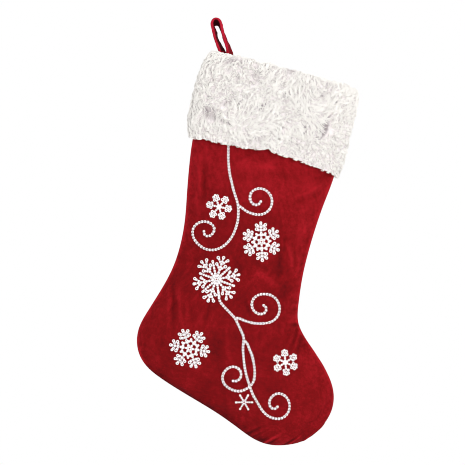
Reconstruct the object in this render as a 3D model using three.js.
// Hanging stocking: a lined velvet stocking with a turned-down plush cuff, a hanging loop and
// chain-stitched scroll and snowflake embroidery on the front.
//
// Frame (millimetres): the origin is the middle of the hanging loop's eye, on the underside of
// its top, where a hook bears. +Z is up, the embroidered front faces -Y, and the toe points to +X.
// The body lies in the XZ plane: the front half is at negative Y, the back half at positive Y.

import * as THREE from 'three';

// ---------------------------------------------------------------- sides and basic helpers
const FRONT = -1; // sign of Y
const BACK = 1;

const mix = (from, to, t) => from + (to - from) * t;
const mix2 = (from, to, t) => [mix(from[0], to[0], t), mix(from[1], to[1], t)];
const dist2 = (from, to) => Math.hypot(from[0] - to[0], from[1] - to[1]);
const radians = (degrees) => (degrees * Math.PI) / 180;

// The entries before and after entry i, or entry i itself at an end of the list.
const neighbours = (list, i) => [list[Math.max(0, i - 1)], list[Math.min(list.length - 1, i + 1)]];

// ---------------------------------------------------------------- closed geometry
const WELD_SCALE = 1e4; // corners are rounded to 1 / WELD_SCALE mm and welded where equal

// The two triangles of a four-cornered face, split from its first corner to its third.
const quad = (a, b, c, d) => [[a, b, c], [a, c, d]];

// Closed geometry from corner points and triangles: welds equal corners, drops collapsed
// triangles and turns the faces outward.
function closedGeometry(points, triangles) {
  const welded = new Map();
  const positions = [];
  const remap = points.map((point) => {
    const rounded = point.map((v) => Math.round(v * WELD_SCALE) / WELD_SCALE);
    const key = rounded.join(',');
    if (!welded.has(key)) {
      welded.set(key, positions.length / 3);
      positions.push(...rounded);
    }
    return welded.get(key);
  });
  const kept = triangles
    .map((triangle) => triangle.map((corner) => remap[corner]))
    .filter((triangle) => new Set(triangle).size === 3);

  let volume = 0;
  for (const triangle of kept) {
    const [a, b, c] = triangle.map((n) => new THREE.Vector3().fromArray(positions, n * 3));
    volume += a.dot(b.cross(c)) / 6;
  }
  const outward = volume < 0 ? kept.map(([a, b, c]) => [a, c, b]) : kept;

  const geometry = new THREE.BufferGeometry();
  geometry.setAttribute('position', new THREE.Float32BufferAttribute(positions, 3));
  geometry.setIndex(outward.flat());
  return geometry;
}

// Winds every triangle the same way round as its neighbours.
function orient(points, triangles) {
  const keys = points.map((point) => point.map((v) => Math.round(v * WELD_SCALE)).join(','));
  const edges = new Map();
  triangles.forEach((triangle, n) => {
    for (let k = 0; k < 3; k++) {
      const start = keys[triangle[k]];
      const end = keys[triangle[(k + 1) % 3]];
      if (start === end) continue;
      const forward = start < end;
      const key = forward ? `${start}|${end}` : `${end}|${start}`;
      if (!edges.has(key)) edges.set(key, []);
      edges.get(key).push({ n, forward });
    }
  });

  // Two triangles that run along a shared edge in the same direction are wound oppositely.
  const adjacent = triangles.map(() => []);
  for (const users of edges.values()) {
    if (users.length !== 2) continue;
    const [first, second] = users;
    const opposed = first.forward === second.forward;
    adjacent[first.n].push({ n: second.n, opposed });
    adjacent[second.n].push({ n: first.n, opposed });
  }

  const winding = new Array(triangles.length).fill(0); // 1 keep, -1 reverse, 0 not yet reached
  for (let seed = 0; seed < triangles.length; seed++) {
    if (winding[seed]) continue;
    winding[seed] = 1;
    const pending = [seed];
    while (pending.length) {
      const current = pending.pop();
      for (const { n, opposed } of adjacent[current]) {
        if (winding[n]) continue;
        winding[n] = opposed ? -winding[current] : winding[current];
        pending.push(n);
      }
    }
  }
  return triangles.map(([a, b, c], n) => (winding[n] < 0 ? [a, c, b] : [a, b, c]));
}

// A closed skin between two grids of points with the same rows and columns.
function skin(outerGrid, innerGrid) {
  const rows = outerGrid.length;
  const cols = outerGrid[0].length;
  const outer = (r, c) => r * cols + c;
  const inner = (r, c) => (rows + r) * cols + c;
  const lastRow = rows - 1;
  const lastCol = cols - 1;
  const triangles = [];
  for (let r = 0; r < lastRow; r++) {
    for (let c = 0; c < lastCol; c++) {
      triangles.push(
        ...quad(outer(r, c), outer(r + 1, c), outer(r + 1, c + 1), outer(r, c + 1)),
        ...quad(inner(r, c), inner(r, c + 1), inner(r + 1, c + 1), inner(r + 1, c)),
      );
    }
  }
  for (let r = 0; r < lastRow; r++) {
    triangles.push(
      ...quad(outer(r, 0), inner(r, 0), inner(r + 1, 0), outer(r + 1, 0)),
      ...quad(outer(r, lastCol), outer(r + 1, lastCol), inner(r + 1, lastCol), inner(r, lastCol)),
    );
  }
  for (let c = 0; c < lastCol; c++) {
    triangles.push(
      ...quad(outer(0, c), outer(0, c + 1), inner(0, c + 1), inner(0, c)),
      ...quad(outer(lastRow, c), inner(lastRow, c), inner(lastRow, c + 1), outer(lastRow, c + 1)),
    );
  }
  return closedGeometry([...outerGrid.flat(), ...innerGrid.flat()], triangles);
}

// Triangles of the walls between consecutive rings of the same number of corners.
function ringWalls(rings) {
  const corners = rings[0].length;
  const triangles = [];
  for (let i = 0; i < rings.length - 1; i++) {
    for (let k = 0; k < corners; k++) {
      const here = i * corners + k;
      const next = i * corners + ((k + 1) % corners);
      triangles.push(...quad(here, next, next + corners, here + corners));
    }
  }
  return triangles;
}

// A closed bar through rings of points, each ring convex, with fans closing the two ends.
function bar(rings) {
  const corners = rings[0].length;
  const triangles = ringWalls(rings);
  const last = (rings.length - 1) * corners;
  for (let k = 1; k < corners - 1; k++) {
    triangles.push([0, k + 1, k], [last, last + k, last + k + 1]);
  }
  return closedGeometry(rings.flat(), triangles);
}

const THREAD_SIDES = 5;

// A thread of round section lying along a list of [x, y, z] points.
function thread(path, radius) {
  const up = new THREE.Vector3(0, 1, 0);
  const rings = path.map((point, i) => {
    const [before, after] = neighbours(path, i).map((p) => new THREE.Vector3(...p));
    const tangent = after.sub(before).normalize();
    const side = new THREE.Vector3().crossVectors(tangent, up).normalize();
    const top = new THREE.Vector3().crossVectors(side, tangent).normalize();
    return Array.from({ length: THREAD_SIDES }, (_, k) => {
      const angle = (2 * Math.PI * k) / THREAD_SIDES;
      return new THREE.Vector3(...point)
        .addScaledVector(side, radius * Math.cos(angle))
        .addScaledVector(top, radius * Math.sin(angle))
        .toArray();
    });
  });
  return bar(rings);
}

// ---------------------------------------------------------------- body surface
// Outline of the body as [x, z]: heel-side and toe-side ends of each cross-line, mouth to toe.
const BODY_LEFT_XZ = [
  [-6.7, -45.3], [-17.3, -92.2], [-28.8, -143.6], [-33.1, -177.9], [-35.5, -207.3],
  [-38.2, -241.6], [-43.5, -271], [-53.2, -300.4], [-69, -329.8], [-84.3, -354.3],
  [-94, -372.7], [-96.9, -391.1], [-93.6, -407], [-85.1, -420.5], [-68.6, -434.6],
  [-46.6, -449], [-19.6, -465.2], [4.9, -480.5], [27.1, -496.4], [44.1, -508.4],
  [58.8, -515.1], [73.5, -517.6], [88.2, -516.9], [102.9, -513.5], [113.9, -507.5],
];
const BODY_RIGHT_XZ = [
  [168.2, -87.4], [155.7, -140], [143.2, -192.6], [132.1, -222], [121.9, -251.4],
  [113.2, -280.8], [107.2, -305.3], [103.5, -326.2], [101.1, -344.5], [100.1, -356.8],
  [101.2, -368.4], [104.1, -376.4], [108, -383.7], [113.3, -392.1], [119.4, -400.9],
  [125, -409.5], [130.5, -418], [135.7, -427.8], [140.3, -438.2], [143.3, -448.7],
  [144.3, -459.7], [143.1, -469.5], [140.3, -478.1], [136, -486], [129.9, -494],
];
const TOE_TIP_XZ = [123.1, -500.5];
const LAST_ROW = BODY_LEFT_XZ.length - 1;

// Columns across the body, from the heel-side edge at -1 to the toe-side edge at 1.
const COLUMNS = [-1, -0.97, -0.9, -0.76, -0.55, -0.28, 0, 0.28, 0.55, 0.76, 0.9, 0.97, 1];
const LAST_COL = COLUMNS.length - 1;

const BODY_HALF_DEPTH = 17.5;    // limit of the reference surface's bulge from the middle plane
const EDGE_ROUNDING_LENGTH = 45; // chord over which a narrow cross-section loses its bulge
const MOUTH_SQUARENESS = 3.6;    // exponent of the cross-section at the mouth
const BODY_SQUARENESS = 2.6;     // exponent of the cross-section from BODY_SQUARE_ROW down
const BODY_SQUARE_ROW = 6;

const chord = (row) => dist2(BODY_LEFT_XZ[row], BODY_RIGHT_XZ[row]);
const bodyPoint = (row, t) => mix2(BODY_LEFT_XZ[row], BODY_RIGHT_XZ[row], (t + 1) / 2);

// Distance of the reference surface from the middle plane, at position t across a row.
function bulge(row, t) {
  const greatest = BODY_HALF_DEPTH * (1 - Math.exp(-chord(row) / EDGE_ROUNDING_LENGTH));
  const squareness = mix(MOUTH_SQUARENESS, BODY_SQUARENESS, Math.min(1, row / BODY_SQUARE_ROW));
  return greatest * (1 - Math.abs(t) ** squareness);
}

// Grid of points on one face of a panel: depth(h) gives the distance from the middle plane for
// the reference bulge h. The span says which part of the body the face covers.
function face(side, depth, span) {
  const { firstRow = 0, lastRow = LAST_ROW, skipCols = 0, edgeInset = 0, toTip = false } = span;
  const grid = [];
  for (let row = firstRow; row <= lastRow; row++) {
    const limit = 1 - (2 * edgeInset) / chord(row);
    grid.push(COLUMNS.slice(skipCols, COLUMNS.length - skipCols).map((column) => {
      const t = Math.max(-limit, Math.min(limit, column));
      const [x, z] = bodyPoint(row, t);
      return [x, side * depth(bulge(row, t)), z];
    }));
  }
  if (toTip) grid.push(grid[0].map(() => [TOE_TIP_XZ[0], side * depth(0), TOE_TIP_XZ[1]]));
  return grid;
}

const panel = (side, outerDepth, innerDepth, span) => skin(
  face(side, outerDepth, span),
  face(side, innerDepth, span),
);

// ---------------------------------------------------------------- body panels
const VELVET_THICKNESS = 1.2;
const VELVET_INNER_GAP = 0.75;  // velvet's inner face above the reference surface
const STABILISER_THICKNESS = 0.4;
const LINING_THICKNESS = 0.5;
const LINING_DROP = 0.35;       // lining's outer face below the reference surface
const LINING_MIN_Y = 0.32;      // closest the lining comes to the middle plane
const LINING_INSET = 1.9;       // least distance of the lining's edge from the outline

const VELVET_SPAN = { toTip: true };
const STABILISER_SPAN = { firstRow: 1, lastRow: LAST_ROW - 3, skipCols: 2 };
const LINING_SPAN = { lastRow: LAST_ROW - 1, skipCols: 1, edgeInset: LINING_INSET };

const velvetInner = (h) => h + VELVET_INNER_GAP;
const velvetOuter = (h) => velvetInner(h) + VELVET_THICKNESS;
const liningOuter = (h) => Math.max(h - LINING_DROP, LINING_MIN_Y + LINING_THICKNESS);
const liningInner = (h) => liningOuter(h) - LINING_THICKNESS;

const velvetPanel = (side) => panel(side, velvetOuter, velvetInner, VELVET_SPAN);
const liningPanel = (side) => panel(side, liningOuter, liningInner, LINING_SPAN);
const stabiliserPanel = () => panel(FRONT, (h) => h + STABILISER_THICKNESS, (h) => h,
  STABILISER_SPAN);

// Triangles of the front velvet's outer face, for laying the embroidery on it.
function velvetFrontTriangles() {
  const grid = face(FRONT, velvetOuter, VELVET_SPAN);
  const triangles = [];
  for (let r = 0; r < grid.length - 1; r++) {
    for (let c = 0; c < LAST_COL; c++) {
      triangles.push(...quad(grid[r][c], grid[r + 1][c], grid[r + 1][c + 1], grid[r][c + 1]));
    }
  }
  return triangles;
}
const FRONT_TRIANGLES = velvetFrontTriangles();

// Y of the front velvet's outer face at x, z, or 0 outside its outline.
function frontY(x, z) {
  const flatTolerance = 1e-9;
  const edgeTolerance = 1e-6;
  let foremost = null;
  for (const [a, b, c] of FRONT_TRIANGLES) {
    const [abX, abZ] = [b[0] - a[0], b[2] - a[2]];
    const [acX, acZ] = [c[0] - a[0], c[2] - a[2]];
    const area = abX * acZ - acX * abZ;
    if (Math.abs(area) < flatTolerance) continue;
    const u = ((x - a[0]) * acZ - acX * (z - a[2])) / area;
    const v = (abX * (z - a[2]) - (x - a[0]) * abZ) / area;
    if (u < -edgeTolerance || v < -edgeTolerance || u + v > 1 + edgeTolerance) continue;
    const y = a[1] + u * (b[1] - a[1]) + v * (c[1] - a[1]);
    if (foremost === null || y < foremost) foremost = y;
  }
  return foremost ?? 0;
}

// ---------------------------------------------------------------- seams of the body
const SEAM_THREAD_RADIUS = 0.42;
const SEAM_INSET = 0.55;        // side seam thread, inboard of the outline
const SEAM_TIP_PULL = 0.22;     // share of the way back from the toe tip to the last row's middle
const MOUTH_THREAD_RADIUS = 0.36;
const MOUTH_THREAD_LIFT = 0.73; // centre of the mouth thread above the velvet
const MOUTH_THREAD_ROW = 0.07;  // its place between the first two rows
const MOUTH_THREAD_SKIP = 3;    // columns left free at each end

// Thread down the heel side, round the toe and back up, on the middle plane.
function sideSeamThread() {
  const rows = BODY_LEFT_XZ.map((_, row) => row);
  const offset = (row) => 1 - (2 * SEAM_INSET) / chord(row);
  const path = [
    ...rows.map((row) => bodyPoint(row, -offset(row))),
    mix2(TOE_TIP_XZ, bodyPoint(LAST_ROW, 0), SEAM_TIP_PULL),
    ...rows.reverse().map((row) => bodyPoint(row, offset(row))),
  ];
  return thread(path.map(([x, z]) => [x, 0, z]), SEAM_THREAD_RADIUS);
}

// Stitching that joins the cuff to the mouth, just under the rolled lip.
function mouthThread(side) {
  const columns = COLUMNS.slice(MOUTH_THREAD_SKIP, COLUMNS.length - MOUTH_THREAD_SKIP);
  const path = columns.map((t) => {
    const [x, z] = mix2(bodyPoint(0, t), bodyPoint(1, t), MOUTH_THREAD_ROW);
    const velvetY = mix(velvetOuter(bulge(0, t)), velvetOuter(bulge(1, t)), MOUTH_THREAD_ROW);
    return [x, side * (velvetY + MOUTH_THREAD_LIFT), z];
  });
  return thread(path, MOUTH_THREAD_RADIUS);
}

// ---------------------------------------------------------------- cuff
// Outline of the cuff as [x, z]: its heel-side and toe-side ends, rim to hem.
const CUFF_LEFT_XZ = [
  [-9.8, -38.3], [-18, -53.6], [-26.1, -79], [-33.2, -109.3], [-35, -129.8], [-34.3, -140],
];
const CUFF_RIGHT_XZ = [
  [174.6, -83], [173.8, -99], [167.5, -125.9], [160.5, -158.1], [153.7, -179.2],
  [148.8, -190.2],
];
const CUFF_INNER_HALF_DEPTH = 21.7;
const CUFF_WALL = 5.2;          // plush wall, front and back
const CUFF_OUTER_HALF_DEPTH = CUFF_INNER_HALF_DEPTH + CUFF_WALL;
const CUFF_SIDE_WALL = 3.4;     // plush wall at the two side seams
const CUFF_SQUARENESS = 2.5;
const CUFF_BACK_FLAT_Y = 26.3;  // plane of the back of the cuff, which rests on a wall
const CUFF_HALF_GAP = 0.15;     // each half of the cuff stops this far from the middle plane
const CUFF_STEPS = 14;          // steps around each half
const LIP_DEPTH = 3.0;          // how far the rolled lip reaches down inside the rim
const LIP_INSET = 9.0;          // mouth opening, inboard of the outer rim, at the sides
const LIP_HALF_DEPTH = 15.2;    // mouth opening, half depth
const LIP_ROUNDING = 1.5;
const LIP_EDGE = 0.01;          // fraction down the cuff where the lip's rounding ends
const RIM_SHOULDER = { down: 0.05, inset: 0.2, depthLoss: 0.4 }; // outer edge, below the rim
const RIM_TOP = { inset: 2.2, depthLoss: 2.4 };                  // outer edge, at the rim
const HEM_START = 0.97;         // fraction down the cuff where the hem's rounding starts
const HEM_INSET = 0.7;          // narrowing of the wall at the hem, at the sides
const HEM_DEPTH_LOSS = 0.9;     // the same, front and back
const WALL_ROWS = [0.14, 0.26, 0.5, 0.74]; // fractions down the cuff
const RIM_RISE = 3.6;           // how far the rim bows up
const RIM_RISE_START = 0.12;    // fraction across the cuff, from the heel side, where it starts
const RIM_RISE_POWER = 0.7;
const HEM_RISE = 7.5;           // how far the hem bows up from a straight line
const HEM_RISE_POWER = 1.35;    // shifts the hem's bow towards the toe side
const CUFF_THREAD_CLEARANCE = 0.5;
const CUFF_THREAD_RADIUS = SEAM_THREAD_RADIUS - 0.04;

const CUFF_LAST = CUFF_LEFT_XZ.length - 1;
const cuffMiddle = (i) => mix2(CUFF_LEFT_XZ[i], CUFF_RIGHT_XZ[i], 0.5);
const LIP_FRACTION = LIP_DEPTH / dist2(cuffMiddle(0), cuffMiddle(CUFF_LAST));

// Heel-side and toe-side ends of the cuff at a fraction of its length down the heel side.
function cuffLine(down) {
  const lengths = [0];
  for (let i = 1; i <= CUFF_LAST; i++) {
    lengths.push(lengths[i - 1] + dist2(CUFF_LEFT_XZ[i - 1], CUFF_LEFT_XZ[i]));
  }
  const target = down * lengths[CUFF_LAST];
  let i = 1;
  while (i < CUFF_LAST && lengths[i] < target) i++;
  const t = (target - lengths[i - 1]) / (lengths[i] - lengths[i - 1]);
  return [CUFF_LEFT_XZ, CUFF_RIGHT_XZ].map((ends) => mix2(ends[i - 1], ends[i], t));
}

// How far the cuff's cross-line bows up, at fractions down and across the cuff.
function cuffRise(down, across) {
  const rimAcross = Math.max(0, (across - RIM_RISE_START) / (1 - RIM_RISE_START));
  const rim = Math.max(0, Math.sin(Math.PI * rimAcross)) ** RIM_RISE_POWER;
  const hem = Math.sin(Math.PI * across ** HEM_RISE_POWER);
  return RIM_RISE * rim * (1 - down) ** 2 + HEM_RISE * hem * down ** 2;
}

// Point of one half of the cuff, at an angle around it from the heel side (0) to the toe side.
function cuffPoint(side, angle, { down, inset, halfDepth, flatY = Infinity }) {
  const [left, right] = cuffLine(down);
  const middle = mix2(left, right, 0.5);
  const width = dist2(left, right);
  const unitX = (right[0] - left[0]) / width;
  const unitZ = (right[1] - left[1]) / width;
  const power = 2 / CUFF_SQUARENESS;
  const cosine = Math.cos(angle);
  const along = Math.sign(cosine) * Math.abs(cosine) ** power * (width / 2 - inset);
  const fullY = Math.max(Math.abs(Math.sin(angle)) ** power * halfDepth, CUFF_HALF_GAP);
  const rise = cuffRise(down, 0.5 - along / width);
  return [
    middle[0] - unitX * along - unitZ * rise,
    side * Math.min(fullY, flatY),
    middle[1] - unitZ * along + unitX * rise,
  ];
}

// Section of the plush wall: up the outside, over the rim, round the lip and down the inside.
function cuffSection(side) {
  const flatY = side === BACK ? CUFF_BACK_FLAT_Y : Infinity;
  const outer = { inset: 0, halfDepth: CUFF_OUTER_HALF_DEPTH, flatY };
  const inner = { inset: CUFF_SIDE_WALL, halfDepth: CUFF_INNER_HALF_DEPTH };
  const lip = { inset: LIP_INSET, halfDepth: LIP_HALF_DEPTH };
  return [
    { down: 1, inset: HEM_INSET, halfDepth: CUFF_OUTER_HALF_DEPTH - HEM_DEPTH_LOSS },
    ...[...WALL_ROWS, HEM_START].reverse().map((down) => ({ down, ...outer })),
    {
      down: RIM_SHOULDER.down,
      inset: RIM_SHOULDER.inset,
      halfDepth: CUFF_OUTER_HALF_DEPTH - RIM_SHOULDER.depthLoss,
      flatY,
    },
    { down: 0, inset: RIM_TOP.inset, halfDepth: CUFF_OUTER_HALF_DEPTH - RIM_TOP.depthLoss },
    { down: 0, inset: LIP_INSET - LIP_ROUNDING, halfDepth: LIP_HALF_DEPTH + LIP_ROUNDING },
    { down: LIP_EDGE, ...lip },
    { down: LIP_FRACTION, ...lip },
    ...[LIP_FRACTION, ...WALL_ROWS, HEM_START].map((down) => ({ down, ...inner })),
    {
      down: 1,
      inset: CUFF_SIDE_WALL - HEM_INSET,
      halfDepth: CUFF_INNER_HALF_DEPTH + HEM_DEPTH_LOSS,
    },
  ];
}

function cuffPanel(side) {
  const section = cuffSection(side);
  const rings = Array.from({ length: CUFF_STEPS + 1 }, (_, i) => {
    const angle = (Math.PI * i) / CUFF_STEPS;
    return section.map((station) => cuffPoint(side, angle, station));
  });
  const triangles = ringWalls(rings);
  // End faces, beside the middle plane.
  for (const i of [0, CUFF_STEPS]) {
    const contour = rings[i].map(([x, , z]) => new THREE.Vector2(x, z));
    for (const corners of THREE.ShapeUtils.triangulateShape(contour, [])) {
      triangles.push(corners.map((n) => i * section.length + n));
    }
  }
  const points = rings.flat();
  return closedGeometry(points, orient(points, triangles));
}

// Side seam thread of the cuff, in the pocket between the cuff's wall and the body's edge.
function cuffSideThread(heelSide) {
  const inset = CUFF_SIDE_WALL + CUFF_THREAD_CLEARANCE + SEAM_THREAD_RADIUS;
  const nodes = [LIP_FRACTION, ...WALL_ROWS, HEM_START].map((down) => {
    const [left, right] = cuffLine(down);
    const t = inset / dist2(left, right);
    return heelSide ? mix2(left, right, t) : mix2(right, left, t);
  });
  // Both ends stop short of the lip and the hem.
  const last = nodes.length - 1;
  nodes[0] = mix2(nodes[0], nodes[1], 0.25);
  nodes[last] = mix2(nodes[last - 1], nodes[last], 0.8);
  return thread(nodes.map(([x, z]) => [x, 0, z]), CUFF_THREAD_RADIUS);
}

// ---------------------------------------------------------------- embroidered scrolls
const STITCH_WIDTH = 2.7;     // chain-stitch line, width
const STITCH_TOP_SHARE = 0.6; // width of its top as a share of its base
const STITCH_HEIGHT = 1.0;    // chain-stitch line, height
const STITCH_LIFT = 0.5;      // clearance over the velvet
const STITCH_STEP = 6.8;      // spacing of the sections along a scroll

// The side scroll passes over the long lower line.
const CROSSING_XZ = [41.6, -444.6];
const CROSSING_LIFT = 1.5;         // extra height where one line of stitching passes over another
const CROSSING_FULL_RADIUS = 7;    // full extra height within this distance
const CROSSING_END_RADIUS = 14;    // no extra height beyond this distance

// Centre lines of the embroidered scrolls, as [x, z].
const UPPER_MAIN = [
  [15.2, -154.4], [15.1, -162], [15.2, -169.4], [15.9, -177.9], [16.9, -185.9], [18.4, -192.6],
  [20, -199.4], [21.7, -206.1], [23.8, -212.8], [26, -219.6], [27.2, -225.7], [27.3, -231.8],
  [27.1, -238.6], [26.1, -244.7], [24.3, -251.1], [21.8, -257.6], [18.4, -263.7],
  [14.1, -269.1], [9.2, -273.4], [3.7, -276.4], [-2.5, -278.1], [-8.6, -277.9],
  [-14.5, -276.2], [-19.6, -272.9], [-24, -268.6], [-27.1, -263.7], [-28.4, -258.8],
  [-28.3, -253.9], [-26.6, -249.7], [-23.3, -246.4], [-19, -244.2], [-14.2, -243.5],
  [-9.6, -244.3], [-5.4, -246.7], [-2.6, -250.1], [-2.1, -254], [-3.7, -257.8],
  [-6.6, -260.4], [-10.4, -261.4], [-13.7, -259.5], [-14.6, -254.5],
];
const UPPER_BRANCH = [
  [30.9, -226.4], [36.5, -230.6], [41.7, -233.1], [47.7, -234.8], [53.7, -235.1],
  [58.8, -233.8], [63.1, -231], [66.4, -226.8], [68.1, -221.8], [68.1, -216.6], [66.4, -211.7],
  [63.1, -207.5], [58.8, -204.6], [53.7, -203.4], [48.5, -204.3], [44.1, -207.1],
  [41.8, -211.5], [41.7, -216.6], [44, -221.1], [48.3, -223.3], [52.7, -221.9], [55, -218.4],
];
const LOWER_MAIN = [
  [5.6, -341.6], [9.9, -347.1], [15.3, -352.7], [20.2, -357.8], [23.5, -361.9], [26, -366.6],
  [28.5, -372], [31.2, -377.6], [33.4, -383.2], [33.7, -389.2], [33, -396], [33.1, -402.7],
  [33.7, -409.7], [34.4, -416.3], [35.4, -422.9], [36.8, -429.3], [38.5, -435.5], [40.5, -442],
  [42.5, -448], [45, -454.2], [48.5, -460.5], [52.4, -467.2], [56.4, -473.4], [61.1, -478.5],
  [67.3, -482.1], [74.2, -483.7], [80.6, -482.7], [85.9, -478.8], [89.1, -472.7],
  [89.4, -465.7], [87.2, -459.4], [82.7, -454.8], [76.6, -452.8], [70.4, -454.8], [66, -459.9],
  [65.2, -466.1], [67.9, -470.5], [71.9, -471.4], [75.5, -468.3],
];
const LOWER_BRANCH = [
  [27.7, -361.3], [32.5, -363.2], [37.4, -365], [42.9, -366.6], [49, -367.6], [55.5, -367.8],
  [61.5, -367.3], [66.8, -366], [71.4, -363.3], [74.8, -359.6], [76.9, -355.2], [77.7, -349.7],
  [76.7, -344], [74, -338.9], [69.8, -334.9], [64.4, -332.5], [58.6, -331.9], [52.7, -332.6],
  [47.7, -335.6], [44.5, -339.9], [43.7, -344.9], [44.8, -349.8], [47.8, -353.6],
  [51.8, -355.9], [56.1, -356], [59.8, -354.2], [61.3, -350.7], [60.3, -347.2], [57.3, -345.3],
];
const SIDE_BRANCH = [
  [37.7, -391.6], [40.5, -398.1], [43.5, -405], [45.4, -412.6], [46.7, -419.9], [47.2, -426.6],
  [46.9, -432.7], [45.7, -437.9], [42.9, -442.3], [39.2, -445.7], [34.7, -448.4], [29.2, -450],
  [23.5, -449.6], [17.5, -447.4], [12.2, -443.8], [8.8, -438.5], [8.1, -432.2], [10.7, -426],
  [15.2, -421.8], [20.7, -420.2], [26.1, -421.6], [29.8, -425.6], [30.6, -430.8],
  [28.7, -435.3], [24.3, -437.8], [20, -437.4],
];

// Even points along a smooth line through the given points.
function resample(points, step) {
  const nodes = points.map(([x, z]) => new THREE.Vector3(x, 0, z));
  const curve = new THREE.CatmullRomCurve3(nodes, false, 'centripetal');
  const count = Math.max(2, Math.round(curve.getLength() / step));
  return curve.getSpacedPoints(count).map(({ x, z }) => [x, z]);
}

function crossingLift(point) {
  const fade = CROSSING_END_RADIUS - CROSSING_FULL_RADIUS;
  const share = (CROSSING_END_RADIUS - dist2(point, CROSSING_XZ)) / fade;
  return CROSSING_LIFT * THREE.MathUtils.clamp(share, 0, 1);
}

// A chain-stitch line of trapezoidal section, laid on the velvet with an optional extra lift.
function scroll(points, extraLift = () => 0) {
  const line = resample(points, STITCH_STEP);
  const rings = line.map((point, i) => {
    const [before, after] = neighbours(line, i);
    const length = dist2(before, after);
    const normalX = -(after[1] - before[1]) / length;
    const normalZ = (after[0] - before[0]) / length;
    const offset = (distance) => [point[0] + normalX * distance, point[1] + normalZ * distance];
    const lift = STITCH_LIFT + extraLift(point);
    const left = offset(STITCH_WIDTH / 2);
    const right = offset(-STITCH_WIDTH / 2);
    const topLeft = offset((STITCH_WIDTH / 2) * STITCH_TOP_SHARE);
    const topRight = offset((-STITCH_WIDTH / 2) * STITCH_TOP_SHARE);
    const [leftY, rightY, middleY] = [left, right, point].map(([x, z]) => frontY(x, z) - lift);
    const topY = Math.min(leftY, rightY, middleY) - STITCH_HEIGHT;
    return [
      [left[0], leftY, left[1]],
      [right[0], rightY, right[1]],
      [topRight[0], topY, topRight[1]],
      [topLeft[0], topY, topLeft[1]],
    ];
  });
  return bar(rings);
}

// ---------------------------------------------------------------- embroidered snowflakes
// Centre as [x, z], radius, turn of the first arm in degrees, and kind of arm.
const FLAKES = {
  small_upper: { at: [3.7, -225.7], radius: 16.2, turn: -12, kind: 'small' },
  medium_upper: { at: [55.4, -268], radius: 24.3, turn: -26, kind: 'medium' },
  large: { at: [0.7, -314], radius: 29.6, turn: 10.5, kind: 'large' },
  medium_heel: { at: [-32.1, -398.2], radius: 25, turn: -10, kind: 'medium' },
  small_toe: { at: [84.6, -415.2], radius: 16.2, turn: -26, kind: 'small' },
  mini: { at: [34.4, -463.7], radius: 11.1, turn: 0, kind: 'mini' },
};

// Arms, in radii: valley is the distance of the notch between two arms from the centre; side is
// one side of the arm, root to tip, as [along, across].
const ARMS = {
  mini: { valley: 0.2, side: [[1, 0.13]] },
  small: { valley: 0.16, side: [[0.52, 0.08], [0.58, 0.25], [0.88, 0.27], [1, 0.07]] },
  medium: {
    valley: 0.5,
    side: [[0.48, 0.06], [0.56, 0.07], [0.7, 0.27], [0.76, 0.08], [0.93, 0.2], [1, 0.05]],
  },
  large: { valley: 0.26, side: [[0.42, 0.05], [0.57, 0.2], [0.64, 0.06], [0.9, 0.24], [1, 0.05]] },
  large_between: { valley: 0.26, side: [[0.8, 0.05]] },
};
// Kinds of arm in turn around the flake; the large flake alternates two kinds.
const armKinds = (kind) => (kind === 'large' ? ['large', 'large_between'] : [kind]);
const MAIN_ARMS = 6;

const FLAKE_MIN_CLEARANCE = 0.32; // least clearance of a snowflake's underside over the velvet
// Places on a triangle where the clearance is taken: its middle and points along its edges.
const SAMPLE_WEIGHTS = [
  [1 / 3, 1 / 3, 1 / 3],
  [0.5, 0.5, 0], [0, 0.5, 0.5], [0.5, 0, 0.5],
  [0.75, 0.25, 0], [0.25, 0.75, 0], [0, 0.25, 0.75],
  [0, 0.75, 0.25], [0.25, 0, 0.75], [0.75, 0, 0.25],
];

// Smallest clearance of the triangles over the velvet.
function clearance(points, triangles) {
  let least = Infinity;
  for (const [a, b, c] of triangles) {
    for (const [wa, wb, wc] of SAMPLE_WEIGHTS) {
      const [x, y, z] = [0, 1, 2].map((k) => (
        wa * points[a][k] + wb * points[b][k] + wc * points[c][k]
      ));
      least = Math.min(least, frontY(x, z) - y);
    }
  }
  return least;
}

// Flat pattern of a snowflake: its [x, z] points, triangles and the point numbers of its rim.
function flakePattern({ at, radius, turn, kind }) {
  const kinds = armKinds(kind);
  const count = MAIN_ARMS * kinds.length;
  const arms = Array.from({ length: count }, (_, k) => ({
    angle: radians(turn + (360 / count) * k),
    ...ARMS[kinds[k % kinds.length]],
  }));
  const outline = [at];
  const faces = [];
  const rim = [];
  const place = (angle, along, across) => {
    outline.push([
      at[0] + radius * (along * Math.cos(angle) - across * Math.sin(angle)),
      at[1] + radius * (along * Math.sin(angle) + across * Math.cos(angle)),
    ]);
    return outline.length - 1;
  };
  const valleys = arms.map(({ angle, valley }) => place(angle - Math.PI / count, valley, 0));
  arms.forEach(({ angle, side }, k) => {
    const lower = side.map(([along, across]) => place(angle, along, -across));
    const upper = [...side].reverse().map(([along, across]) => place(angle, along, across));
    const nextValley = valleys[(k + 1) % count];
    const loop = [valleys[k], ...lower, ...upper, nextValley];
    const contour = loop.map((n) => new THREE.Vector2(...outline[n]));
    for (const corners of THREE.ShapeUtils.triangulateShape(contour, [])) {
      faces.push(corners.map((n) => loop[n]));
    }
    faces.push([0, valleys[k], nextValley]);
    rim.push(...loop.slice(0, -1));
  });
  return { outline, faces, rim };
}

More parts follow.
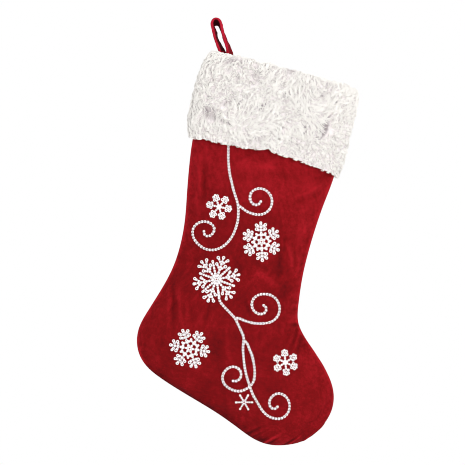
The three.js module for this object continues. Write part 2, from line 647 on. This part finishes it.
function snowflake(flake) {
  const { outline, faces, rim } = flakePattern(flake);
  const layer = (lift) => outline.map(([x, z]) => [x, frontY(x, z) - lift, z]);
  const shortfall = FLAKE_MIN_CLEARANCE - clearance(layer(STITCH_LIFT), faces);
  const lift = STITCH_LIFT + Math.max(0, shortfall);
  const points = [...layer(lift), ...layer(lift + STITCH_HEIGHT)];
  const top = outline.length; // offset from a point of the underside to the one above it
  const triangles = faces.flatMap(([a, b, c]) => [[a, b, c], [a + top, c + top, b + top]]);
  rim.forEach((here, k) => {
    const next = rim[(k + 1) % rim.length];
    triangles.push(...quad(here, here + top, next + top, next));
  });
  return closedGeometry(points, orient(points, triangles));
}

// ---------------------------------------------------------------- hanging loop
const LOOP_WIDTH = 13;          // strip width, front to back
const LOOP_THICKNESS = 3.8;
const LOOP_TILT = radians(42);  // tilt of the strip at the top of the eye
// Sideways lean of the strip's width towards +X: its value at the apex, and what is added,
// growing with the square of the drop, at the given drop below the apex.
const LOOP_LEAN = { atApex: 0.22, added: 0.28, drop: 45 };

// Front edge of the strip as [x, z], heel-side end to toe-side end; z is taken from the apex.
const LOOP_FRONT_EDGE_XZ = [
  [4.8, -38.5], [3.8, -34.6], [2.3, -30.1], [-0.7, -21.3], [-2.7, -14.8], [-4.3, -8.1],
  [-5.9, -2.3], [-5.4, 2], [-2.5, 5.8], [2.5, 5.8], [5.5, 2], [6.6, -3.9], [7.7, -10],
  [9.1, -15.7], [10.5, -21.7], [12, -27.3], [13.2, -32.8], [13.8, -39],
];

const TACK_XZ = [12.1, -40.7];  // where the loop's two ends meet the rim
const TACK_RADIUS = 0.9;
const TACK_END_SHARE = 0.6;     // radius at the tack's ends as a share of TACK_RADIUS
const TACK_LENGTH = 9.5;
const TACK_STEPS = 4;
const TACK_SIDES = 8;

function hangingLoop() {
  const edge = LOOP_FRONT_EDGE_XZ;
  const apex = Math.max(...edge.map(([, z]) => z));
  const halfWidth = LOOP_WIDTH / 2;
  const halfThickness = LOOP_THICKNESS / 2;
  const sine = Math.sin(LOOP_TILT);
  const cosine = Math.cos(LOOP_TILT);
  // Puts the middle of the underside of the eye's top at the origin.
  const centreY = sine * halfThickness;
  const apexZ = cosine * halfThickness + halfWidth * sine;

  const rings = edge.map(([x, z], i) => {
    const [before, after] = neighbours(edge, i);
    const tangent = z === apex
      ? new THREE.Vector3(1, 0, 0)
      : new THREE.Vector3(after[0] - before[0], 0, after[1] - before[1]).normalize();
    const lean = LOOP_LEAN.atApex + LOOP_LEAN.added * ((apex - z) / LOOP_LEAN.drop) ** 2;
    const across = new THREE.Vector3(lean, cosine, -sine);
    across.addScaledVector(tangent, -across.dot(tangent)).normalize();
    const normal = new THREE.Vector3().crossVectors(tangent, across).normalize();
    const centre = new THREE.Vector3(
      x + across.x * halfWidth,
      centreY,
      z - apex + apexZ + across.z * halfWidth,
    );
    return [[-1, -1], [1, -1], [1, 1], [-1, 1]].map(([widthSign, thicknessSign]) => centre.clone()
      .addScaledVector(across, widthSign * halfWidth)
      .addScaledVector(normal, thicknessSign * halfThickness)
      .toArray());
  });
  return bar(rings);
}

// Round bar along Y, narrowed at both ends.
function loopTack() {
  const rings = Array.from({ length: TACK_STEPS + 1 }, (_, i) => {
    const y = TACK_LENGTH * (i / TACK_STEPS - 0.5);
    const radius = i === 0 || i === TACK_STEPS ? TACK_RADIUS * TACK_END_SHARE : TACK_RADIUS;
    return Array.from({ length: TACK_SIDES }, (__, k) => {
      const angle = (2 * Math.PI * k) / TACK_SIDES;
      return [TACK_XZ[0] + radius * Math.cos(angle), y, TACK_XZ[1] + radius * Math.sin(angle)];
    });
  });
  return bar(rings);
}

// ---------------------------------------------------------------- materials
const fabric = ({ color, roughness }) => (
  new THREE.MeshStandardMaterial({ color, roughness, metalness: 0 })
);
const velvet = () => fabric({ color: 0x8e1219, roughness: 0.95 });
const lining = () => fabric({ color: 0x9a2026, roughness: 0.6 });
const plush = () => fabric({ color: 0xf0ece6, roughness: 1.0 });
const redThread = () => fabric({ color: 0x7d0d16, roughness: 0.8 });
const whiteThread = () => fabric({ color: 0xf2eeee, roughness: 0.75 });
const interfacing = () => fabric({ color: 0xe6e2da, roughness: 0.95 });

// ---------------------------------------------------------------- assembly
const stocking = new THREE.Group();

function add(name, geometry, material) {
  const mesh = new THREE.Mesh(geometry, material);
  mesh.name = name;
  stocking.add(mesh);
}

add('velvet_front_panel', velvetPanel(FRONT), velvet());
add('velvet_back_panel', velvetPanel(BACK), velvet());
add('lining_front_panel', liningPanel(FRONT), lining());
add('lining_back_panel', liningPanel(BACK), lining());
add('embroidery_stabiliser', stabiliserPanel(), interfacing());
add('cuff_front_panel', cuffPanel(FRONT), plush());
add('cuff_back_panel', cuffPanel(BACK), plush());
add('side_seam_thread', sideSeamThread(), redThread());
add('cuff_seam_thread_heel_side', cuffSideThread(true), whiteThread());
add('cuff_seam_thread_toe_side', cuffSideThread(false), whiteThread());
add('mouth_seam_thread_front', mouthThread(FRONT), whiteThread());
add('mouth_seam_thread_back', mouthThread(BACK), whiteThread());
add('hanging_loop', hangingLoop(), velvet());
add('loop_bar_tack', loopTack(), redThread());
add('scroll_upper_main', scroll(UPPER_MAIN), whiteThread());
add('scroll_upper_branch', scroll(UPPER_BRANCH), whiteThread());
add('scroll_lower_main', scroll(LOWER_MAIN), whiteThread());
add('scroll_lower_branch', scroll(LOWER_BRANCH), whiteThread());
add('scroll_side_branch', scroll(SIDE_BRANCH, crossingLift), whiteThread());
for (const [name, flake] of Object.entries(FLAKES)) {
  add(`snowflake_${name}`, snowflake(flake), whiteThread());
}

export default stocking;
